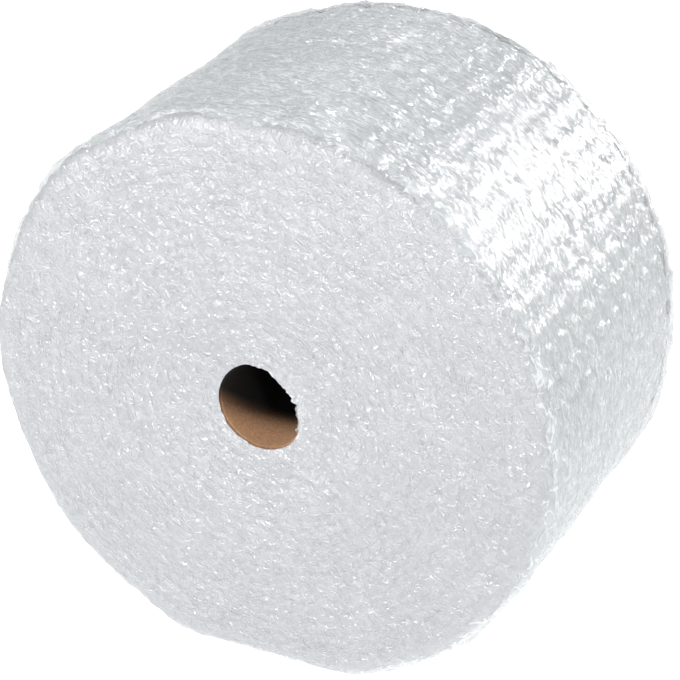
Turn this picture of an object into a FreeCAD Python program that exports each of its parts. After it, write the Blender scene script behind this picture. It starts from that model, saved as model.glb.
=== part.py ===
"""A roll of large-bubble packing film on a paper core, lying on its side.

Millimetres, +Z up. The winding axis is +Y, and the origin is on the resting plane
under the middle of the roll. Two pieces: the paper core, and the web of bubble
film, whose turns are one solid.
"""
import FreeCAD
import Part
import math
import os

# The roll as a whole
ROLL_DIAMETER = 510.0      # over the tops of the outer bubbles
ROLL_WIDTH = 305.0         # a 12 inch web
REST_SINK = 9.0            # how far the soft roll flattens where it lies

# The cardboard core
CORE_BORE = 76.2           # a 3 inch bore
CORE_WALL = 4.4
CORE_LENGTH = 292.0
CORE_BEVEL = 0.6
CORE_CLEARANCE = 0.1       # between the core and the first turn

# The film's bubbles, in rows across the web
BUBBLE_PITCH = 28.0        # from bubble to bubble along a row
BUBBLE_RISE = 3.5          # how far a pressed bubble stands above the seal around it
EDGE_MARGIN = 12.0         # least width of the soft corner beside the last bubble
END_BUBBLE_SHARE = 0.6     # rise of the cut half bubbles beside the web's edge

# The turns, seen at the roll's two ends
TURN_PITCH = 10.0          # thickness of one wound turn
TURN_GROOVE = 4.5          # depth of the groove between two turns
TAIL_DEGREES = 58.0        # the web ends on the upper right, seen from the near end
RIM_DEPTH = 12.0           # radial size of the rounded outer corner
RIM_SOFTENING = 4.0        # first step of that corner
CORE_DISH = 5.0            # how far the turns draw back beside the core
CORE_DISH_REACH = 40.0
EDGE_WANDER = 1.6          # how unevenly the web's edge was wound
WANDER_WAVES = 3.37        # waves of that unevenness in one turn
CAP_INSET = 4.0            # the raw end caps reach this far inside the core's wall
CUT_MARGIN = 1.0           # material under the resting plane that the flat cut takes

# Worked out from the sizes above
OUTER_RADIUS = ROLL_DIAMETER / 2
SEAL_RADIUS = OUTER_RADIUS - BUBBLE_RISE
AXIS_HEIGHT = OUTER_RADIUS - REST_SINK
CORE_RADIUS = CORE_BORE / 2 + CORE_WALL
WINDING_RADIUS = CORE_RADIUS + CORE_CLEARANCE
FIRST_TURN_RADIUS = WINDING_RADIUS - CAP_INSET
RIM_RADIUS = OUTER_RADIUS - RIM_DEPTH
HALF_WIDTH = ROLL_WIDTH / 2
BUBBLES_IN_ROW = max(1, math.floor((ROLL_WIDTH - 2 * EDGE_MARGIN) / BUBBLE_PITCH))
HALF_QUILT = BUBBLE_PITCH * BUBBLES_IN_ROW / 2
ROW_SPACING = BUBBLE_PITCH * math.sqrt(3) / 2
ROWS_PER_SEGMENT = 2
SEGMENTS_PER_TURN = round(2 * math.pi * OUTER_RADIUS / ROW_SPACING / ROWS_PER_SEGMENT)
ROWS = SEGMENTS_PER_TURN * ROWS_PER_SEGMENT
ROW_ANGLE = 2 * math.pi / ROWS
TIP_ANGLE = ROW_ANGLE / 6
SEGMENT_ANGLE = ROW_ANGLE * ROWS_PER_SEGMENT
TAIL_SEGMENT = round(math.radians(TAIL_DEGREES) / SEGMENT_ANGLE)
TURNS = max(2, round((RIM_RADIUS - FIRST_TURN_RADIUS) / TURN_PITCH))
SPIRAL_RISE = (RIM_RADIUS - FIRST_TURN_RADIUS) / TURNS


def wall_radius(angle):
    """The roll's outer radius at an angle round the axis, flattened where it rests."""
    down = -math.sin(angle)
    flat = AXIS_HEIGHT + CUT_MARGIN
    return min(OUTER_RADIUS, flat / down) if down > 0 else OUTER_RADIUS


def is_pressed_flat(angle):
    return wall_radius(angle) < OUTER_RADIUS


def place(angle, radius, y):
    """A point of the winding. The turns over the resting place are squeezed together."""
    share = (radius - WINDING_RADIUS) / (OUTER_RADIUS - WINDING_RADIUS)
    squeezed = WINDING_RADIUS + share * (wall_radius(angle) - WINDING_RADIUS)
    if radius <= WINDING_RADIUS:
        squeezed = radius
    return FreeCAD.Vector(squeezed * math.cos(angle), y, AXIS_HEIGHT + squeezed * math.sin(angle))


def edge_height(angle, radius, turn):
    """Half the roll's width at one point of the web's edge."""
    dish = CORE_DISH * math.exp(-((radius - WINDING_RADIUS) / CORE_DISH_REACH) ** 2)
    wave = WANDER_WAVES * (angle + 2 * math.pi * turn)
    wander = EDGE_WANDER * (1 + math.sin(wave)) / 2
    return HALF_WIDTH - dish - wander


class Skin:
    """Collects the triangles of a closed skin, with shared corner points."""

    def __init__(self):
        self.points = []
        self.numbers = {}
        self.faces = []

    def corner(self, point):
        key = (round(point.x, 4), round(point.y, 4), round(point.z, 4))
        if key not in self.numbers:
            self.numbers[key] = len(self.points)
            self.points.append(point)
        return self.numbers[key]

    def face(self, *points):
        """A triangle or a quad, split on its first diagonal. Doubled corners drop out."""
        corners = []
        for point in points:
            number = self.corner(point)
            if number not in corners:
                corners.append(number)
        for i in range(1, len(corners) - 1):
            self.faces.append((corners[0], corners[i], corners[i + 1]))

    def solid(self):
        shape = Part.Shape()
        shape.makeShapeFromMesh((self.points, self.faces), 0.001)
        made = Part.makeSolid(Part.Shell(shape.Faces))
        if made.Volume < 0:
            made.reverse()
        return made


def row_line(line, step):
    """A corner on the zigzag seal between two rows of bubbles."""
    side = 1 if (line + step) % 2 == 0 else -1
    angle = line * ROW_ANGLE + side * TIP_ANGLE
    radius = OUTER_RADIUS if is_pressed_flat(angle) else SEAL_RADIUS
    return place(angle, radius, -HALF_QUILT + step * BUBBLE_PITCH / 2)


def bubble_top(row, step, share=1.0, shift=0.0):
    """The highest point of a bubble."""
    angle = (row + 0.5) * ROW_ANGLE
    radius = SEAL_RADIUS + BUBBLE_RISE * share
    if is_pressed_flat(angle):
        radius = OUTER_RADIUS
    return place(angle, radius, -HALF_QUILT + (step + shift) * BUBBLE_PITCH / 2)


def add_bubbles(skin):
    """The outer turn: offset rows of six-sided bubbles, with half bubbles at the edges."""
    last = 2 * BUBBLES_IN_ROW
    for row in range(ROWS):
        for step in range((row + 1) % 2, last + 1, 2):
            if step in (0, last):
                inward = 1 if step == 0 else -1
                near = [(row, step), (row, step + inward), (row + 1, step + inward), (row + 1, step)]
                top = bubble_top(row, step, END_BUBBLE_SHARE, inward * 0.5)
                ring = near if inward == 1 else near[::-1]
            else:
                below = [(row, step - 1), (row, step), (row, step + 1)]
                above = [(row + 1, step + 1), (row + 1, step), (row + 1, step - 1)]
                top = bubble_top(row, step)
                ring = below + above
            corners = [row_line(line, place_along) for line, place_along in ring]
            for i, corner in enumerate(corners):
                skin.face(corner, corners[(i + 1) % len(corners)], top)


def spiral_point(index, side, groove=False):
    """A point of the web's edge, counted in segments from the core outwards."""
    angle = (TAIL_SEGMENT + index) * SEGMENT_ANGLE
    radius = FIRST_TURN_RADIUS + SPIRAL_RISE * index / SEGMENTS_PER_TURN
    turn = index // SEGMENTS_PER_TURN
    height = edge_height(angle % (2 * math.pi), radius, turn)
    if groove:
        radius += SPIRAL_RISE / 2
        height -= TURN_GROOVE
    return place(angle, radius, side * height)


def add_turns(skin, side):
    """One end of the roll: a spiral of ridges and grooves, its start and its tail."""

    def face(*points):
        skin.face(*(points if side < 0 else points[::-1]))

    whole = TURNS * SEGMENTS_PER_TURN
    last_turn = whole - SEGMENTS_PER_TURN
    ridge = [spiral_point(k, side) for k in range(whole + 1)]
    groove = [spiral_point(k, side, groove=True) for k in range(last_turn + 1)]
    for k in range(last_turn):
        face(ridge[k], ridge[k + 1], groove[k + 1], groove[k])
        outer = k + SEGMENTS_PER_TURN
        face(groove[k], groove[k + 1], ridge[outer + 1], ridge[outer])

    # The web starts on a ring at the core and ends on a ring at the rim
    inner_ring = []
    outer_ring = []
    for k in range(SEGMENTS_PER_TURN):
        angle = (TAIL_SEGMENT + k) * SEGMENT_ANGLE
        inner_ring.append(place(angle, FIRST_TURN_RADIUS, ridge[0].y))
        outer_ring.append(place(angle, RIM_RADIUS, ridge[whole].y))
    centre = FreeCAD.Vector(0, ridge[0].y, AXIS_HEIGHT)
    for k in range(SEGMENTS_PER_TURN):
        after = (k + 1) % SEGMENTS_PER_TURN
        face(centre, inner_ring[k], inner_ring[after])
        face(ridge[k], inner_ring[k], inner_ring[after], ridge[k + 1])
        face(ridge[last_turn + k], ridge[last_turn + k + 1], outer_ring[after], outer_ring[k])
    face(ridge[0], groove[0], ridge[SEGMENTS_PER_TURN])
    face(ridge[last_turn], groove[last_turn], ridge[whole])
    return outer_ring


def add_rim(skin, side, outer_ring):
    """The soft outer corner, from the last turn round to the first seal line."""

    def face(*points):
        skin.face(*(points if side < 0 else points[::-1]))

    step = 0 if side < 0 else 2 * BUBBLES_IN_ROW
    height = abs(outer_ring[0].y) - RIM_SOFTENING
    shoulder = [
        place(line * ROW_ANGLE, OUTER_RADIUS - RIM_SOFTENING, side * height) for line in range(ROWS)
    ]
    for k in range(SEGMENTS_PER_TURN):
        first = ((TAIL_SEGMENT + k) * ROWS_PER_SEGMENT) % ROWS
        middle, last = (first + 1) % ROWS, (first + 2) % ROWS
        after = (k + 1) % SEGMENTS_PER_TURN
        face(outer_ring[k], shoulder[middle], shoulder[first])
        face(outer_ring[k], outer_ring[after], shoulder[middle])
        face(outer_ring[after], shoulder[last], shoulder[middle])
    for line in range(ROWS):
        after = (line + 1) % ROWS
        seal, next_seal = row_line(line, step), row_line(line + 1, step)
        face(shoulder[line], shoulder[after], next_seal, seal)


def bubble_film():
    """The wound web: its skin, cut flat where it lies and bored for the core."""
    skin = Skin()
    add_bubbles(skin)
    for side in (-1, 1):
        add_rim(skin, side, add_turns(skin, side))
    roll = skin.solid()
    reach = 2 * OUTER_RADIUS
    under = Part.makeBox(2 * reach, 2 * reach, reach, FreeCAD.Vector(-reach, -reach, -reach))
    core_room = y_cylinder(WINDING_RADIUS, 2 * ROLL_WIDTH)
    return roll.cut(under).cut(core_room)


def y_cylinder(radius, length):
    start = FreeCAD.Vector(0, -length / 2, AXIS_HEIGHT)
    return Part.makeCylinder(radius, length, start, FreeCAD.Vector(0, 1, 0))


def core_tube():
    """The paper tube, with its cut ends slightly broken."""
    tube = y_cylinder(CORE_RADIUS, CORE_LENGTH).cut(y_cylinder(CORE_BORE / 2, 2 * CORE_LENGTH))
    rings = [edge for edge in tube.Edges if isinstance(edge.Curve, Part.Circle)]
    outer_rings = [edge for edge in rings if edge.Curve.Radius > (CORE_BORE + CORE_WALL) / 2]
    return tube.makeChamfer(CORE_BEVEL, outer_rings)


def main():
    os.makedirs("parts", exist_ok=True)
    for name, made in (("core_tube", core_tube()), ("bubble_film", bubble_film())):
        solids = made.Solids
        shape = solids[0] if len(solids) == 1 else made
        box = shape.BoundBox
        print(name, "solids", len(solids), "valid", shape.isValid(), "faces", len(shape.Faces))
        print("   litres", round(shape.Volume / 1e6, 3), "y", round(box.YMin, 1), round(box.YMax, 1))
        print("   x", round(box.XMin, 1), round(box.XMax, 1), "z", round(box.ZMin, 1), round(box.ZMax, 1))
        shape.exportStep(f"parts/{name}.step")


main()
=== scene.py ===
# %% [markdown]
# A roll of large-bubble packing film, lying on its side.
# The solid model already holds the paper core and the wound film, with the turns
# showing at both ends. This script dresses them: it lays the outer turn's bubbles and
# its crinkled web round the roll, stands the cut edges of the film on both ends with a
# matted sheet between them, and gives film and board their finish. Everything is in
# metres, +Z up, and the core runs along Y.

# %% Load the solid model
import math

import bmesh
import bpy
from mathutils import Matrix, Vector, noise


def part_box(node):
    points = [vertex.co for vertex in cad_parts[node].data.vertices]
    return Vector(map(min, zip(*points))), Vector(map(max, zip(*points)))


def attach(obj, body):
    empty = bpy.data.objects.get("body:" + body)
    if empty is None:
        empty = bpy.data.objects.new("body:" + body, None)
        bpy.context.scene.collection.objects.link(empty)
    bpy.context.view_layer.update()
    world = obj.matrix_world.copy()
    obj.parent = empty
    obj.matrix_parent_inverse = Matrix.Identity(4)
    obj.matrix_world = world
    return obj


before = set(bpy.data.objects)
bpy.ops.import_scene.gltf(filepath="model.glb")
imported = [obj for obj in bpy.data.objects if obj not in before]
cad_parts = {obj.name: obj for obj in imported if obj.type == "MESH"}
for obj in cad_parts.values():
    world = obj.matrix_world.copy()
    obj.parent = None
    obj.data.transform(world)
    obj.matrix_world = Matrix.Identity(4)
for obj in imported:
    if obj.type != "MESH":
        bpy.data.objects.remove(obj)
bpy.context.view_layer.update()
print("solid pieces:", sorted(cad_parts))

# %% [markdown]
# The sizes come from the solid model where it has them. The axis of the roll is the
# middle of the core, and the resting plane is at z = 0. The roll has no hard corner at
# its ends: the soft film rounds them, and puffs out a little past the solid. The film's
# free end, the tail, lies on the roll's upper right.

# %% Sizes
MM = 0.001
FULL_TURN = 2 * math.pi
film_low, film_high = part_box("bubble_film")
core_low, core_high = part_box("core_tube")
AXIS_HEIGHT = (core_low.z + core_high.z) / 2
CORE_RADIUS = (core_high.z - core_low.z) / 2
CORE_HALF_LENGTH = core_high.y
OUTER_RADIUS = film_high.z - AXIS_HEIGHT
HALF_WIDTH = film_high.y
CORNER_RADIUS = 15 * MM
RIM_PUFF = 2.5 * MM
STRAIGHT_HALF = HALF_WIDTH - CORNER_RADIUS + RIM_PUFF
TAIL_ANGLE = math.radians(60)
print("roll radius", round(OUTER_RADIUS, 4), "width", round(2 * HALF_WIDTH, 4))
print("core radius", round(CORE_RADIUS, 4), "length", round(2 * CORE_HALF_LENGTH, 4))

# %% [markdown]
# A wrinkle in thin film is a sharp crease with smooth slopes beside it, so plain soft
# noise looks wrong. Folding the noise about zero gives such creases. The same fold is
# used for the shapes here, and again in the materials for creases too fine to model.

# %% Folded noise
CREASE_SHARPNESS = 2.2


def clamp(value):
    """Keeps a share between 0 and 1."""
    return min(1, max(0, value))


def crease(point, size):
    """Folded noise, 0 to 1, with sharp lines where it nears 1."""
    return 1 - min(1, abs(noise.noise(point / size)) * CREASE_SHARPNESS)


samples = [round(crease(Vector((x, 0.3, 0.7)), 1), 2) for x in (0, 0.3, 0.6, 0.9)]
print("crease height along a line:", samples)

# %% [markdown]
# A soft roll is not a full circle. Its own weight presses it flat under the core, and
# its outer turns bulge in broad lumps. A lattice could bend finished pieces that way.
# A formula can be asked for any radius, so the outer layers, the cut edges and the
# matted ends all take their places from this one and lie together above the floor.

# %% The roll's outline
UNDERSIDE = 0.5
LUMPS_ROUND = 2.6
LUMP_HEIGHT = 5 * MM


def press_flat(radius, angle):
    """The radius that is left at this angle. What would reach under the floor is squeezed."""
    down = -math.sin(angle)
    if down <= UNDERSIDE:
        return radius
    limit = AXIS_HEIGHT / down
    share = clamp((radius - CORE_RADIUS) / (OUTER_RADIUS - CORE_RADIUS))
    squeezed = radius - max(0, OUTER_RADIUS - limit) * share ** 3
    return min(squeezed, limit + (radius - OUTER_RADIUS) * 0.05)


def slump(angle, radius, y):
    """How far the soft outer turns bulge outwards here, in broad lumps."""
    place = Vector((math.cos(angle), math.sin(angle), y / OUTER_RADIUS)) * LUMPS_ROUND
    share = max(0, radius / OUTER_RADIUS - 0.6) / 0.4
    return max(0, 0.35 + noise.noise(place)) * LUMP_HEIGHT * min(1, share)


def roll_point(angle, radius, y):
    """A point of the roll, from its angle round the axis, its radius and its place along Y."""
    pressed = press_flat(radius + slump(angle, radius, y), angle)
    return Vector((pressed * math.cos(angle), y, AXIS_HEIGHT + pressed * math.sin(angle)))


lowest = roll_point(math.radians(270), OUTER_RADIUS, 0)
print("pressed flat by", round(OUTER_RADIUS - (AXIS_HEIGHT - lowest.z), 4))

# %% [markdown]
# Two layers make the outside of the roll, each one sheet of film. Such a sheet could be
# cut from a cylinder. A flat grid bent into a tube is simpler, because its own two
# directions, round the roll and across it, are also the map that the materials read. A
# formula lifts its points, and past the straight part it turns down over the rounded
# rim. Where the tube closes, the doubled points are merged.

# %% Sheets round the roll
def film_piece(name, bm):
    """Makes the finished shape a piece of film that stays with the roll."""
    mesh = bpy.data.meshes.new(name)
    bm.to_mesh(mesh)
    bm.free()
    piece = bpy.data.objects.new(name, mesh)
    bpy.context.scene.collection.objects.link(piece)
    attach(piece, "root")
    print(name, "faces", len(mesh.polygons))
    return piece


def over_rim(across, radius):
    """Carries a place across the web over the rounded corner: gives its y and its radius."""
    side = 1 if across > 0 else -1
    past = abs(across) - STRAIGHT_HALF
    if past <= 0:
        return across, radius
    turn = min(past / CORNER_RADIUS, math.pi / 2)
    more = past - turn * CORNER_RADIUS
    y = STRAIGHT_HALF + CORNER_RADIUS * math.sin(turn)
    return side * y, radius - CORNER_RADIUS * (1 - math.cos(turn)) - more


def rolled_sheet(name, cells_round, cells_across, half_across, lift):
    """A grid bent round the roll. lift(wound, across) gives each point's radius."""
    bm = bmesh.new()
    uv = bm.loops.layers.uv.new("film")
    bmesh.ops.create_grid(bm, x_segments=cells_round, y_segments=cells_across, size=1)
    for vert in bm.verts:
        wound = (vert.co.x + 1) * math.pi
        across = vert.co.y * half_across
        for loop in vert.link_loops:
            loop[uv].uv = (wound * OUTER_RADIUS, across)
        y, radius = over_rim(across, lift(wound, across))
        vert.co = roll_point(TAIL_ANGLE + wound, radius, y)
    bmesh.ops.remove_doubles(bm, verts=bm.verts, dist=0.05 * MM)
    bmesh.ops.recalc_face_normals(bm, faces=bm.faces)
    for face in bm.faces:
        face.smooth = True
    return film_piece(name, bm)


rim_y, rim_radius = over_rim(STRAIGHT_HALF + CORNER_RADIUS, OUTER_RADIUS)
print("on the rounded rim the web comes to y", round(rim_y, 4), "radius", round(rim_radius, 4))

# %% [markdown]
# The inner of the two is the formed film, with flat-topped domes in offset rows. It
# could be built from hundreds of separate domes, but the real one is a single sheet, so
# a formula finds the nearest bubble and lifts the sheet there. Soft noise dents each
# dome, since a real bubble is never quite round.

# %% Bubble layer
BUBBLE_PITCH = 28 * MM
BUBBLES_IN_ROW = 10
BUBBLE_RADIUS = BUBBLE_PITCH * 0.49
HALF_QUILT = BUBBLE_PITCH * BUBBLES_IN_ROW / 2
ROWS = 66
ROW_ANGLE = FULL_TURN / ROWS
ROW_SPACING = OUTER_RADIUS * ROW_ANGLE
DOME_SQUARENESS = 2.6
SEAL_DEPTH = 2.6 * MM
BUBBLE_RISE = 4.4 * MM
DENT_SIZE = 13 * MM
DENT_DEPTH = 1.8 * MM
LAYER_HALF_WIDTH = STRAIGHT_HALF + 14 * MM


def bubble_height(angle, across):
    """How high the formed film stands here, 0 on the seal and 1 on a bubble's top."""
    best = 1.0
    row = angle / ROW_ANGLE - 0.5
    for near_row in (math.floor(row), math.floor(row) + 1):
        odd = (near_row % 2) * 0.5
        step = (across + HALF_QUILT) / BUBBLE_PITCH - 0.5 - odd
        nearest = round(step)
        if abs(nearest + odd - BUBBLES_IN_ROW / 2 + 0.5) > BUBBLES_IN_ROW / 2:
            continue
        away_round = (row - near_row) * ROW_SPACING
        away_across = (step - nearest) * BUBBLE_PITCH
        best = min(best, math.hypot(away_round, away_across) / BUBBLE_RADIUS)
    return math.sqrt(max(0, 1 - best ** DOME_SQUARENESS))


def rim_fade(across):
    """Takes the bubbles down to nothing where the web rounds the rim."""
    return clamp((STRAIGHT_HALF + 6 * MM - abs(across)) / (8 * MM))


def bubble_radius(wound, across):
    """The formed film's radius, from the seal between the bubbles to a dented top."""
    angle = (TAIL_ANGLE + wound) % FULL_TURN
    on_roll = Vector((math.cos(angle), math.sin(angle), across / OUTER_RADIUS)) * OUTER_RADIUS
    dent = noise.noise(on_roll / DENT_SIZE) * DENT_DEPTH
    height = bubble_height(angle, across) * rim_fade(across)
    return OUTER_RADIUS - SEAL_DEPTH + height * (BUBBLE_RISE + dent)


print("bubble rows", ROWS, "spaced", round(ROW_SPACING, 4))
bubble_layer = rolled_sheet("bubble_layer", 792, 108, LAYER_HALF_WIDTH, bubble_radius)

# %% [markdown]
# Over the bubbles lies the flat backing web. It is clear, and it is pulled round the
# roll, so it bridges from bubble to bubble and gathers into creases that run round the
# roll. They are long that way and narrow across, which is why the noise is read with
# the arc shortened. The web is slacker near the rim. It climbs a little on its way
# round, so that its curled free end lies on top of where it began, and its side edges
# dive into the matted ends.

# %% Outer web
WEB_GAP = 1.5 * MM
WEB_RISE = 1.1 * MM
WEB_LAP = 2.4 * MM
CREASE_STRETCH = 2.4
PUCKER_SIZE = 8 * MM
PUCKER_DEPTH = 1.5 * MM
RIPPLE_SIZE = 22 * MM
RIPPLE_DEPTH = 1.5 * MM
SLACK_START = HALF_QUILT * 0.88
CURL_REACH = 7 * MM
CURL_LIFT = 1.5 * MM
DIVE_START = STRAIGHT_HALF + 3 * MM
DIVE_REACH = 13 * MM
DIVE_DEPTH = 6 * MM
WEB_HALF_WIDTH = STRAIGHT_HALF + 16 * MM


def web_lap(wound, across):
    """How far the web has climbed on its way round, with its free end curled up."""
    to_end = (FULL_TURN - wound) * OUTER_RADIUS
    ragged = 1 + noise.noise(Vector((0, across, 2)) / (16 * MM))
    return WEB_LAP * wound / FULL_TURN + math.exp(-to_end / CURL_REACH) * ragged * CURL_LIFT


def web_radius(wound, across):
    """The clear web's radius."""
    arc = wound * OUTER_RADIUS
    near_rim = max(0, abs(across) - SLACK_START) / (HALF_WIDTH - SLACK_START)
    slack = 1 + 0.8 * min(1.4, near_rim)
    pucker = crease(Vector((arc / CREASE_STRETCH, across, 0.3)), PUCKER_SIZE) * PUCKER_DEPTH * slack
    ripple = noise.noise(Vector((arc, across, 7)) / RIPPLE_SIZE) * RIPPLE_DEPTH * slack
    height = bubble_height((TAIL_ANGLE + wound) % FULL_TURN, across) * rim_fade(across)
    lift = WEB_GAP + height * WEB_RISE + pucker * (1 - height * 0.4) + ripple
    dive = clamp((abs(across) - DIVE_START) / DIVE_REACH) ** 1.5 * DIVE_DEPTH
    return OUTER_RADIUS + lift + web_lap(wound, across) - dive


outer_web = rolled_sheet("outer_web", 660, 144, WEB_HALF_WIDTH, web_radius)

# %% [markdown]
# At each end the slit edges of all the turns show, wound in one spiral from the core to
# the tail. The area of the spiral divided by the thickness of a turn gives the length of
# the web, and the same rule turned round gives the radius after any length of it. The
# end draws back a little round the core, and at the rim it rounds over to meet the
# outer turn. Round the core the loose film reaches over the tube, furthest on one side.

# %% The spiral and the roll's end
TURN_PITCH = 10 * MM
FIRST_TURN = CORE_RADIUS - 1 * MM
LAST_TURN = OUTER_RADIUS - 1 * MM
INNERMOST = CORE_RADIUS + 0.6 * MM
WEB_LENGTH = (LAST_TURN ** 2 - FIRST_TURN ** 2) * math.pi / TURN_PITCH
CORNER_START = OUTER_RADIUS - CORNER_RADIUS
DISH_DEPTH = 5 * MM
DISH_REACH = 40 * MM
LIP_ANGLE = 0.7
LIP_LEAST = 3 * MM
LIP_MORE = 7 * MM


def spiral(run):
    """Angle and radius after this length of the wound web, which ends at the tail."""
    radius = math.sqrt(FIRST_TURN ** 2 + TURN_PITCH * run / math.pi)
    return TAIL_ANGLE - (LAST_TURN - radius) / TURN_PITCH * FULL_TURN, radius


def end_place(place):
    """The radius, y and slope of the roll's end, this far out from the axis along it."""
    share = clamp((place - CORNER_START) / CORNER_RADIUS)
    slope = share * math.pi / 2
    corner = CORNER_RADIUS + RIM_PUFF * share
    dish = DISH_DEPTH * math.exp(-((place - CORE_RADIUS) / DISH_REACH) ** 2)
    radius = min(place, CORNER_START) + corner * math.sin(slope)
    return radius, HALF_WIDTH - CORNER_RADIUS - dish + corner * math.cos(slope), slope


def lip(angle):
    """How far the loose film reaches over the core at this angle."""
    ragged = noise.noise(Vector((math.cos(angle), math.sin(angle), 4)) * 9) * 2.5 * MM
    return LIP_LEAST + max(0, math.cos(angle - LIP_ANGLE)) ** 2 * (LIP_MORE + ragged)


print("web length", round(WEB_LENGTH, 2), "lip", round(lip(LIP_ANGLE), 4))

# %% [markdown]
# Each turn is two films: the flat backing, and the formed film that swells out to the
# next turn wherever a bubble was cut. A cut through real film could be copied bubble by
# bubble. On a roll it is crushed beyond telling, so five long strips stand on edge in
# each turn instead. Their free edges wander and lean, as limp film does, and that is
# what glitters. Next to the core they stay clear of the tube and tuck over it, and on
# the rounded rim they sink under the other films.

# %% A slit edge
FOLDS = 5
FOOT = 5 * MM
SINK_SLOPE = 0.6


def rough_edge(run, seed, size, reach):
    """Soft noise along a slit edge, give or take this reach."""
    return noise.noise(Vector((run, seed * 3.1, size)) / size) * reach


def edge_point(run, up, side, fold):
    """One point of a slit edge: up is 0 at its foot and 1 at its free edge."""
    angle, radius = spiral(run)
    seed = (10 * fold + side) * 20 * MM
    place = radius + fold / FOLDS * TURN_PITCH
    place += rough_edge(run, seed, size=40 * MM, reach=5 * MM)
    place += rough_edge(run, seed, size=6 * MM, reach=1.5 * MM)
    place = max(place, INNERMOST + fold * 0.3 * MM)
    beside_core = math.exp(-((place - INNERMOST) / (4 * MM)) ** 2)
    radius, y, slope = end_place(place)
    stand = (1.2 + 2.2 * crease(Vector((run, seed, 9)), 14 * MM)) * MM
    stand += rough_edge(run, seed, size=4 * MM, reach=1.6 * MM) + 2 * MM * beside_core
    stand *= max(0, 1 - 1.1 * slope)
    sunk = max(0, slope - SINK_SLOPE) * 14 * MM
    rise = stand * up - FOOT * math.cos(slope) * (1 - up) - sunk
    lean = rough_edge(run, seed, size=10 * MM, reach=3.6 * MM) * up ** 1.5 * (1 - beside_core)
    tuck = max(0, lip(angle) + rough_edge(run, seed, size=3.5 * MM, reach=4 * MM))
    radius += rise * math.sin(slope) + lean * math.cos(slope)
    radius -= tuck * beside_core * max(0, 2 * up - 1)
    y += rise * math.cos(slope) - lean * math.sin(slope)
    return roll_point(angle, radius, -side * y)


print("the innermost slit edge starts at", [round(c, 4) for c in edge_point(0, 1, 1, 0)])

# %% [markdown]
# A strip is one long and narrow grid, and each of its points is put on the spiral. Its
# map is the length along the web and the way up the strip, so the fine creases can
# follow the web. All the strips of one end are a single piece, because they are one web.

# %% Slit edges of both ends
EDGE_STEP = 2.8 * MM
EDGE_ROWS = 2


def film_edges(name, side):
    """All the strips of one end. side is 1 at the near end and -1 at the far one."""
    bm = bmesh.new()
    uv = bm.loops.layers.uv.new("film")
    steps = int(WEB_LENGTH / EDGE_STEP)
    for fold in range(FOLDS):
        strip = bmesh.ops.create_grid(bm, x_segments=steps, y_segments=EDGE_ROWS, size=1)
        for vert in strip["verts"]:
            run = (vert.co.x + 1) / 2 * WEB_LENGTH
            for loop in vert.link_loops:
                loop[uv].uv = (run, (vert.co.y + 7 * fold) * FOOT)
            vert.co = edge_point(run, (vert.co.y + 1) / 2, side, fold)
    for face in bm.faces:
        face.smooth = True
    return film_piece(name, bm)


near_edges = film_edges("near_edges", 1)
far_edges = film_edges("far_edges", -1)

# %% [markdown]
# Between those strips the film is pressed into one matted, crinkled surface, which hides
# the gaps. Modelling each crushed edge would show no more than this one grid does. It is
# a ring from the lip over the core to the rim, follows the turns faintly and is creased
# by the same folded noise. It is open, so nothing tells which side is its outside, and
# one face is looked at to turn it the right way.

# %% Matted ends
MAT_RISE = 1.2 * MM
TURN_RIDGE = 0.4 * MM
MAT_CREASE_SIZE = 11 * MM
SOFT_LUMP_SIZE = 50 * MM
SOFT_LUMP_HEIGHT = 1 * MM
LIP_DROP = 1.6 * MM
MAT_SINK_SLOPE = 0.9


def mat_rise(angle, place, slope, side):
    """How far the matted surface stands above the roll's end here."""
    turns = (LAST_TURN - place) / TURN_PITCH + (angle - TAIL_ANGLE) / FULL_TURN
    spot = Vector((place * math.cos(angle), place * math.sin(angle), side))
    rise = MAT_RISE + TURN_RIDGE * math.cos(turns * FULL_TURN)
    rise += crease(spot, MAT_CREASE_SIZE) * (1.4 + 0.3 * slope) * MM
    rise += noise.noise(spot / SOFT_LUMP_SIZE) * SOFT_LUMP_HEIGHT
    rise -= clamp((INNERMOST - place) / (3 * MM)) * LIP_DROP
    return rise - max(0, slope - MAT_SINK_SLOPE) * 12 * MM


def matted_end(name, side):
    """The matted ring of one end, from a grid bent into a ring."""
    bm = bmesh.new()
    bmesh.ops.create_grid(bm, x_segments=420, y_segments=80, size=1)
    for vert in bm.verts:
        angle = vert.co.x * math.pi
        start = CORE_RADIUS - lip(angle)
        place = start + (vert.co.y + 1) / 2 * (OUTER_RADIUS - 3 * MM - start)
        radius, y, slope = end_place(place)
        rise = mat_rise(angle, place, slope, side)
        radius += rise * math.sin(slope)
        vert.co = roll_point(angle, radius, -side * (y + rise * math.cos(slope)))
    bmesh.ops.remove_doubles(bm, verts=bm.verts, dist=0.05 * MM)
    for face in bm.faces:
        face.smooth = True
    bmesh.ops.recalc_face_normals(bm, faces=bm.faces)
    middle = min(bm.faces, key=lambda face: abs(face.calc_center_median().z - AXIS_HEIGHT))
    if middle.normal.y * side > 0:
        bmesh.ops.reverse_faces(bm, faces=bm.faces)
    return film_piece(name, bm)


near_mat = matted_end("near_mat", 1)
far_mat = matted_end("far_mat", -1)

# %% [markdown]
# Creases too fine to model are noise in the materials. Math nodes fold it as the shapes
# above are folded: half is taken off, so that it runs from below zero to above, and then
# the sign is dropped. That leaves a sharp valley wherever the noise passes its middle.

# %% Folded noise as nodes
NOISE_MIDDLE = 0.5
NOISE_TWIST = 0.6


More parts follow.
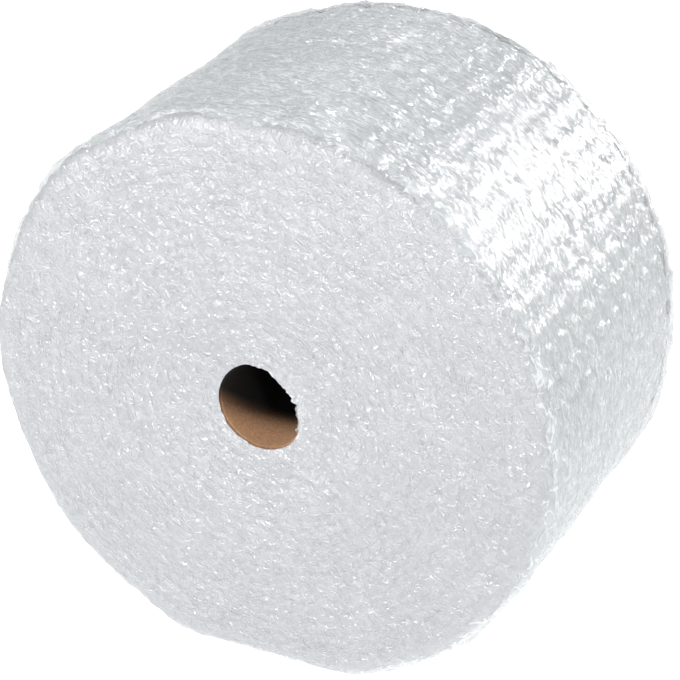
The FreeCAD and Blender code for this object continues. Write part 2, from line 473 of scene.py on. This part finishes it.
def math_node(tree, operation, *values):
    """A Math node. Each value is a number, or the output that the number comes from."""
    node = tree.nodes.new("ShaderNodeMath")
    node.operation = operation
    for socket, value in zip(node.inputs, values):
        if isinstance(value, bpy.types.NodeSocket):
            tree.links.new(value, socket)
        else:
            socket.default_value = value
    return node.outputs[0]


def folded_noise(tree, place, scale, size, detail):
    """Noise folded about its middle, 0 along the creases. Finer noise is also lower."""
    texture = tree.nodes.new("ShaderNodeTexNoise")
    texture.inputs["Detail"].default_value = detail
    texture.inputs["Distortion"].default_value = NOISE_TWIST
    tree.links.new(place, texture.inputs["Vector"])
    tree.links.new(math_node(tree, "MULTIPLY", scale, size), texture.inputs["Scale"])
    centred = math_node(tree, "SUBTRACT", texture.outputs["Fac"], NOISE_MIDDLE)
    return math_node(tree, "DIVIDE", math_node(tree, "ABSOLUTE", centred), size)


print("noise is folded at", NOISE_MIDDLE, "and twisted by", NOISE_TWIST)

# %% [markdown]
# Every film finish has these creases, so they are one node group. It takes a place on
# the film and adds two sizes of folded noise there. It gives a height for the bump, and
# a mask for the thin milky lines where film is folded on itself.

# %% Crease group
COARSE, FINE = 1.0, 2.7
FOLD_WIDTH = 0.035


def crease_group():
    """The group, with inputs Place and Scale and outputs Height and Fold."""
    group = bpy.data.node_groups.new("film_creases", "ShaderNodeTree")
    face = group.interface
    face.new_socket("Place", in_out="INPUT", socket_type="NodeSocketVector")
    face.new_socket("Scale", in_out="INPUT", socket_type="NodeSocketFloat")
    face.new_socket("Height", in_out="OUTPUT", socket_type="NodeSocketFloat")
    face.new_socket("Fold", in_out="OUTPUT", socket_type="NodeSocketFloat")
    came = group.nodes.new("NodeGroupInput")
    gone = group.nodes.new("NodeGroupOutput")
    place, scale = came.outputs["Place"], came.outputs["Scale"]
    coarse = folded_noise(group, place, scale, COARSE, 2.0)
    fine = folded_noise(group, place, scale, FINE, 1.0)
    group.links.new(math_node(group, "ADD", coarse, fine), gone.inputs["Height"])
    fold = group.nodes.new("ShaderNodeMapRange")
    fold.inputs["From Max"].default_value = FOLD_WIDTH
    fold.inputs["To Min"].default_value = 1.0
    fold.inputs["To Max"].default_value = 0.0
    group.links.new(coarse, fold.inputs["Value"])
    group.links.new(fold.outputs[0], gone.inputs["Fold"])
    return group


creases = crease_group()
print("crease group outputs:", [s.name for s in creases.interface.items_tree if s.in_out == "OUTPUT"])

# %% [markdown]
# The film itself is clear, but many layers of it scatter light until it looks like milk.
# One layer can't be modelled as that many, so each finish says how milky its layer is by
# its colour and its alpha. The bump from the creases breaks the reflections into small
# bright glints, and along a fold the film is both whiter and less clear.

# %% Film finish
def film_finish(name, colours, roughness, scale, depth, alphas=(1, 1), stretch=(1, 1, 1), place="UV"):
    """Creased film. Each pair is the value of plain film and the value along a fold."""
    mat = bpy.data.materials.new(name)
    mat.use_nodes = True
    nodes, links = mat.node_tree.nodes, mat.node_tree.links
    shader = nodes["Principled BSDF"]
    shader.inputs["IOR"].default_value = 1.5
    shader.inputs["Roughness"].default_value = roughness
    where = nodes.new("ShaderNodeTexCoord")
    mapping = nodes.new("ShaderNodeMapping")
    mapping.inputs["Scale"].default_value = stretch
    links.new(where.outputs[place], mapping.inputs["Vector"])
    group = nodes.new("ShaderNodeGroup")
    group.node_tree = creases
    group.inputs["Scale"].default_value = scale
    links.new(mapping.outputs["Vector"], group.inputs["Place"])
    bump = nodes.new("ShaderNodeBump")
    bump.inputs["Distance"].default_value = depth
    links.new(group.outputs["Height"], bump.inputs["Height"])
    links.new(bump.outputs["Normal"], shader.inputs["Normal"])
    tint = nodes.new("ShaderNodeMix")
    tint.data_type = "RGBA"
    tint.inputs["A"].default_value = (*colours[0], 1)
    tint.inputs["B"].default_value = (*colours[1], 1)
    links.new(group.outputs["Fold"], tint.inputs["Factor"])
    links.new(tint.outputs["Result"], shader.inputs["Base Color"])
    if alphas[0] < 1:
        milk = nodes.new("ShaderNodeMapRange")
        milk.inputs["To Min"].default_value = alphas[0]
        milk.inputs["To Max"].default_value = alphas[1]
        links.new(group.outputs["Fold"], milk.inputs["Value"])
        links.new(milk.outputs["Result"], shader.inputs["Alpha"])
    return mat


print("film finishes use the group", creases.name)

# %% [markdown]
# Four finishes come from that one function. The formed film is pale and lets nothing
# through, as if it held all the layers below. The web over it is half clear, so that the
# bubbles show, and has the sharpest gloss. The slit edges are the clearest. These three
# read their own map, so their creases follow the winding. The matted ends and the wound
# solid have no map and read the object's own coordinates. They are a mid grey, because
# the strips in front of them and the gloss add the rest of the white.

# %% The film's four finishes
def wear(piece, mat):
    """Gives the piece this finish and no other."""
    piece.data.materials.clear()
    piece.data.materials.append(mat)
    print(piece.name, "wears", mat.name)


WHITE = (0.93, 0.935, 0.94)
BRIGHT = (0.98, 0.98, 0.98)
COOL = (0.77, 0.80, 0.81)
PALE = (0.62, 0.655, 0.67)
MATTED = (0.475, 0.485, 0.50)
MATTED_FOLD = (0.55, 0.555, 0.57)
LONG_CREASES = (0.36, 1.0, 1.0)
SHORT_CREASES = (0.5, 1.0, 1.0)
formed_film = film_finish("formed_film", (PALE, WHITE), 0.28, 130, 4 * MM, stretch=LONG_CREASES)
clear_web = film_finish("clear_web", (COOL, BRIGHT), 0.05, 140, 6.6 * MM, (0.52, 0.72), LONG_CREASES)
slit_edge = film_finish("slit_edge", (WHITE, BRIGHT), 0.1, 170, 4 * MM, (0.26, 0.44), SHORT_CREASES)
wound_film = film_finish("wound_film", (MATTED, MATTED_FOLD), 0.12, 120, 3.6 * MM, place="Object")
wear(bubble_layer, formed_film)
wear(outer_web, clear_web)
wear(near_edges, slit_edge)
wear(far_edges, slit_edge)
wear(near_mat, wound_film)
wear(far_mat, wound_film)
wear(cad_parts["bubble_film"], wound_film)

# %% [markdown]
# The core is brown paper board, a dull surface with fine fibres. Light reaches only the
# mouth of so long a tube, and the wall below a little further in. Lamps alone leave the
# bore too pale, because the white room round the roll shines in from everywhere. So shade
# is painted into the board's colour: it darkens towards near black with depth along the
# tube, and less so lower down.

# %% Core board
FIBRE_SCALE = 420
BOARD_DARK = (0.48, 0.25, 0.13, 1)
BOARD_LIGHT = (0.64, 0.37, 0.21, 1)
# BORE_SHADE is painted shade: the near-black colour that the wall takes deep in the bore.
BORE_SHADE = (0.011, 0.009, 0.008, 1)
BELOW_REACH = 1.3
SHADE_INSIDE = 15 * MM
SHADE_OUTSIDE = 30 * MM


def kraft_finish(middle):
    """Paper board, with painted shade deep in the bore. middle is the height of the tube's axis in
    its own coordinates.
    """
    mat = bpy.data.materials.new("kraft_board")
    mat.use_nodes = True
    tree = mat.node_tree
    nodes, links = tree.nodes, tree.links
    shader = nodes["Principled BSDF"]
    shader.inputs["Roughness"].default_value = 0.85
    shader.inputs["Specular IOR Level"].default_value = 0.15
    where = nodes.new("ShaderNodeTexCoord")
    fibres = nodes.new("ShaderNodeTexNoise")
    fibres.inputs["Scale"].default_value = FIBRE_SCALE
    fibres.inputs["Detail"].default_value = 6
    links.new(where.outputs["Object"], fibres.inputs["Vector"])
    ramp = nodes.new("ShaderNodeValToRGB")
    ramp.color_ramp.elements[0].position = 0.3
    ramp.color_ramp.elements[0].color = BOARD_DARK
    ramp.color_ramp.elements[1].position = 0.7
    ramp.color_ramp.elements[1].color = BOARD_LIGHT
    links.new(fibres.outputs["Fac"], ramp.inputs["Fac"])
    # Painted shade: the board's colour blends to BORE_SHADE with depth along the tube, less so lower
    # down.
    apart = nodes.new("ShaderNodeSeparateXYZ")
    links.new(where.outputs["Object"], apart.inputs["Vector"])
    along = math_node(tree, "ABSOLUTE", apart.outputs["Y"])
    below = math_node(tree, "SUBTRACT", middle, apart.outputs["Z"])
    lit = nodes.new("ShaderNodeMapRange")
    lit.interpolation_type = "SMOOTHSTEP"
    lit.inputs["From Min"].default_value = CORE_HALF_LENGTH - SHADE_INSIDE
    lit.inputs["From Max"].default_value = CORE_HALF_LENGTH + SHADE_OUTSIDE
    links.new(math_node(tree, "MULTIPLY_ADD", below, BELOW_REACH, along), lit.inputs["Value"])
    shade = nodes.new("ShaderNodeMix")
    shade.data_type = "RGBA"
    shade.inputs["A"].default_value = BORE_SHADE
    links.new(ramp.outputs["Color"], shade.inputs["B"])
    links.new(lit.outputs["Result"], shade.inputs["Factor"])
    links.new(shade.outputs["Result"], shader.inputs["Base Color"])
    bump = nodes.new("ShaderNodeBump")
    bump.inputs["Distance"].default_value = 0.6 * MM
    links.new(fibres.outputs["Fac"], bump.inputs["Height"])
    links.new(bump.outputs["Normal"], shader.inputs["Normal"])
    return mat


core_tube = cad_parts["core_tube"]
core_middle = sum(corner[2] for corner in core_tube.bound_box) / 8
wear(core_tube, kraft_finish(core_middle))
print("middle of the core in its own coordinates", round(core_middle, 4))

# %% [markdown]
# The photo was taken from the front right and above, with a long lens. The position
# below was fitted to the roll's outline and then moved back a little, since the film
# stands proud of the solid. It is measured from the middle of the near end, in units of
# the roll's radius.

# %% Camera
AZIMUTH = math.radians(26.1)
ELEVATION = math.radians(27.5)
DISTANCE = 7.43
SHIFT_RIGHT = 0.254
SHIFT_UP = 0.214
PHOTO_SIZE = 680
FOCAL_PIXELS = 2283
NEAR_END = Vector((0, -STRAIGHT_HALF - 6 * MM, AXIS_HEIGHT))
back = Vector((
    math.sin(AZIMUTH) * math.cos(ELEVATION),
    -math.cos(AZIMUTH) * math.cos(ELEVATION),
    math.sin(ELEVATION),
))
right = Vector((math.cos(AZIMUTH), math.sin(AZIMUTH), 0))
up = back.cross(right)
camera_data = bpy.data.cameras.new("camera")
camera_data.sensor_width = 36
camera_data.lens = FOCAL_PIXELS / PHOTO_SIZE * camera_data.sensor_width
camera = bpy.data.objects.new("camera", camera_data)
camera.location = NEAR_END + OUTER_RADIUS * (back * DISTANCE + right * SHIFT_RIGHT + up * SHIFT_UP)
camera.rotation_euler = (-back).to_track_quat("-Z", "Y").to_euler()
bpy.context.scene.collection.objects.link(camera)
bpy.context.scene.camera = camera
print("lens", round(camera_data.lens, 1), "camera at", [round(c, 3) for c in camera.location])

# %% [markdown]
# Clear film is seen by what it reflects, so most of these lamps light only the gloss.
# The strong one stands behind the roll to the right, where a mirror on the outer turn
# would show it to the camera, and makes the broad sheen there. Four small ones stand in
# front of the near end and one behind the roll, and a crease glints where it mirrors one
# of them to the camera. The three others light everything, so that the milky film has a
# bright side and a darker one.

# %% Lamps
ROLL_MIDDLE = Vector((0, 0, AXIS_HEIGHT))
DAYLIGHT = (1.0, 0.985, 0.95)
NEUTRAL = (1.0, 1.0, 1.0)
FRONT_LAMP = 60


def area_light(name, direction, distance, width, height, power, colour, gloss_only=False):
    """A lamp that looks at the middle of the roll from this direction."""
    data = bpy.data.lights.new(name, "AREA")
    data.shape = "RECTANGLE"
    data.size = width
    data.size_y = height
    data.energy = power
    data.color = colour
    light = bpy.data.objects.new(name, data)
    way = Vector(direction).normalized()
    light.location = ROLL_MIDDLE + way * distance
    light.rotation_euler = way.to_track_quat("Z", "Y").to_euler()
    light.visible_diffuse = not gloss_only
    light.visible_camera = False
    bpy.context.scene.collection.objects.link(light)
    print(name, power, "W at", [round(c, 2) for c in light.location])


def glint_light(name, direction, power):
    """A small lamp that only the gloss shows."""
    area_light(name, direction, 2.6, 0.3, 0.3, power, NEUTRAL, gloss_only=True)


area_light("window", (0.49, 0.77, 0.41), 2.4, 0.8, 0.8, 220, DAYLIGHT, gloss_only=True)
area_light("window_glow", (0.55, 0.77, 0.35), 2.4, 0.8, 0.8, 5, DAYLIGHT)
area_light("fill", (-0.12, -0.55, 0.75), 2.6, 0.4, 0.4, 27, NEUTRAL)
area_light("side_fill", (0.9, -0.5, 0.2), 2.6, 1.6, 1.0, 7, NEUTRAL)
glint_light("low_left", (-0.5, -0.85, 0.02), FRONT_LAMP)
glint_light("low_front", (-0.1, -0.95, 0.12), FRONT_LAMP)
glint_light("front_right", (0.7, -0.7, 0.3), FRONT_LAMP)
glint_light("front_left", (-0.5, -0.6, 0.6), FRONT_LAMP)
glint_light("top_back", (-0.2, 0.75, 0.6), 40)

# %% [markdown]
# The room is white all round, as for a cut-out photo, which fills the film's hollows. A
# white floor could be left to the lamps, but then it would show their pools of light and
# the roll's shadow, so it shines a little by itself.

# %% Room and floor
FLOOR_HALF = 12
ROOM_COLOUR = (0.965, 0.98, 1.0, 1)
ROOM_STRENGTH = 0.58
FLOOR_GLOW = 0.6

world = bpy.data.worlds.new("white_room")
world.use_nodes = True
room = world.node_tree.nodes["Background"]
room.inputs["Color"].default_value = ROOM_COLOUR
room.inputs["Strength"].default_value = ROOM_STRENGTH
bpy.context.scene.world = world

floor_mesh = bpy.data.meshes.new("floor")
floor_bm = bmesh.new()
bmesh.ops.create_grid(floor_bm, x_segments=1, y_segments=1, size=FLOOR_HALF)
bmesh.ops.translate(floor_bm, verts=floor_bm.verts, vec=(0, 0, -1.5 * MM))
floor_bm.to_mesh(floor_mesh)
floor_bm.free()
floor = bpy.data.objects.new("floor", floor_mesh)
bpy.context.scene.collection.objects.link(floor)
floor_finish = bpy.data.materials.new("pale_floor")
floor_finish.use_nodes = True
floor_shader = floor_finish.node_tree.nodes["Principled BSDF"]
floor_shader.inputs["Base Color"].default_value = (0.9, 0.9, 0.9, 1)
floor_shader.inputs["Roughness"].default_value = 0.9
floor_shader.inputs["Emission Color"].default_value = (1.0, 1.0, 1.0, 1)
floor_shader.inputs["Emission Strength"].default_value = FLOOR_GLOW
floor_mesh.materials.append(floor_finish)
bpy.context.scene.view_settings.view_transform = "Standard"
print("floor", 2 * FLOOR_HALF, "m across, room strength", ROOM_STRENGTH)
